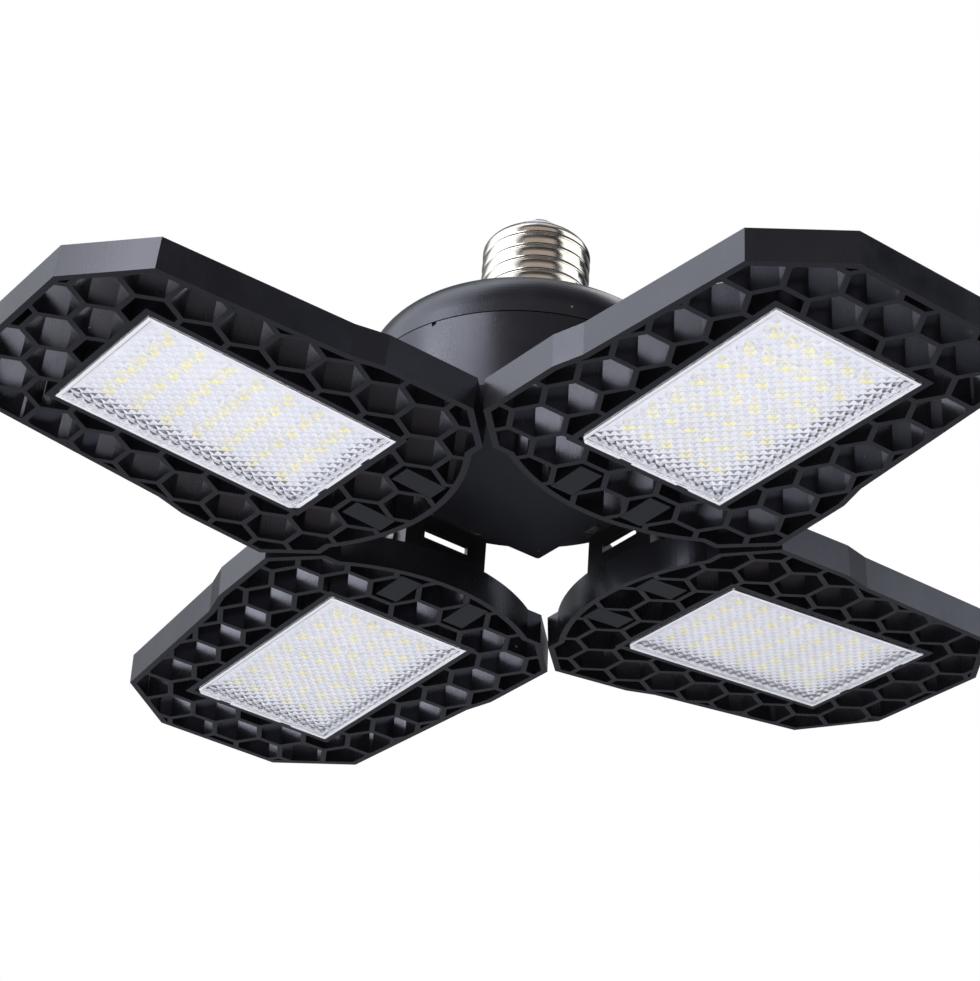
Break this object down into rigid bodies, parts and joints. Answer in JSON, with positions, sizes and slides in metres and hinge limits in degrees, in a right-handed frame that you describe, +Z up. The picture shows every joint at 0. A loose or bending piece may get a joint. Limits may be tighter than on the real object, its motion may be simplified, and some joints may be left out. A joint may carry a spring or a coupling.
{
  "type": "deformable ceiling light",
  "caption": "Screw-in ceiling light with hinged honeycomb leaf panels that carry LED boards under prismatic lenses, for garages and workshops.",
  "frame": {"origin": "outer end face of the screw base's centre contact, on the lamp's axis", "axes": "+Z up into the lamp holder; leaves a, b, c and d point along -X, -Y, +Y and +X"},
  "size_m": [0.2616, 0.26, 0.0963],
  "materials": {
    "nickel": "nickel-plated sheet, rolled thread",
    "white_insulator": "white insulating disc",
    "cap_plastic": "fine satin moulded black",
    "drum_plastic": "fine satin moulded black",
    "cover_plastic": "satin moulded black",
    "leaf_plastic": "satin moulded black with fine scuffs",
    "lug_plastic": "satin moulded black",
    "bracket_steel": "black powder coat",
    "black_bolt": "black oxide",
    "zinc_steel": "zinc plated",
    "circuit_board": "green solder mask",
    "transformer": "yellow tape over ferrite",
    "capacitor_sleeve": "dark sleeve",
    "component_black": "black epoxy",
    "white_board": "white solder mask on aluminium",
    "phosphor": "yellow phosphor",
    "white_rivet": "white heads",
    "lens_plastic": "clear prismatic sheet"
  },
  "bodies": {
    "lamp_body": {"centre_contact": "nickel", "base_insulator": "white_insulator", "screw_shell": "nickel", "top_cap": "cap_plastic", "drum_housing": "drum_plastic", "hinge_cover": "cover_plastic", "cover_screws": "zinc_steel", "driver_board": "circuit_board", "driver_screws": "zinc_steel", "driver_transformer": "transformer", "driver_capacitors": "capacitor_sleeve", "driver_rectifier": "component_black", "bracket_screws": "black_bolt", "hinge_bracket_a": "bracket_steel", "hinge_bolt_a": "black_bolt", "hinge_nut_a": "black_bolt", "hinge_bracket_b": "bracket_steel", "hinge_bolt_b": "black_bolt", "hinge_nut_b": "black_bolt", "hinge_bracket_c": "bracket_steel", "hinge_bolt_c": "black_bolt", "hinge_nut_c": "black_bolt", "hinge_bracket_d": "bracket_steel", "hinge_bolt_d": "black_bolt", "hinge_nut_d": "black_bolt"},
    "leaf_a": {"leaf_frame_a": "leaf_plastic", "hinge_lugs_a": "lug_plastic", "light_board_a": "white_board", "light_chips_a": "phosphor", "board_rivets_a": "white_rivet", "leaf_lens_a": "lens_plastic"},
    "leaf_b": {"leaf_frame_b": "leaf_plastic", "hinge_lugs_b": "lug_plastic", "light_board_b": "white_board", "light_chips_b": "phosphor", "board_rivets_b": "white_rivet", "leaf_lens_b": "lens_plastic"},
    "leaf_c": {"leaf_frame_c": "leaf_plastic", "hinge_lugs_c": "lug_plastic", "light_board_c": "white_board", "light_chips_c": "phosphor", "board_rivets_c": "white_rivet", "leaf_lens_c": "lens_plastic"},
    "leaf_d": {"leaf_frame_d": "leaf_plastic", "hinge_lugs_d": "lug_plastic", "light_board_d": "white_board", "light_chips_d": "phosphor", "board_rivets_d": "white_rivet", "leaf_lens_d": "lens_plastic"}
  },
  "joints": [
    {"name": "leaf_a_fold", "type": "hinge", "parent": "lamp_body", "child": "leaf_a", "pos_m": [-0.036, 0, -0.0785], "axis": [0, 1, 0], "range_deg": [-6.3, 86.7]},
    {"name": "leaf_b_fold", "type": "hinge", "parent": "lamp_body", "child": "leaf_b", "pos_m": [0, -0.036, -0.0785], "axis": [-1, 0, 0], "range_deg": [-4.4, 88.6]},
    {"name": "leaf_c_fold", "type": "hinge", "parent": "lamp_body", "child": "leaf_c", "pos_m": [0, 0.036, -0.0785], "axis": [1, 0, 0], "range_deg": [-0.7, 92.3]},
    {"name": "leaf_d_fold", "type": "hinge", "parent": "lamp_body", "child": "leaf_d", "pos_m": [0.036, 0, -0.0785], "axis": [0, -1, 0], "range_deg": [-7.9, 85.1]}
  ]
}
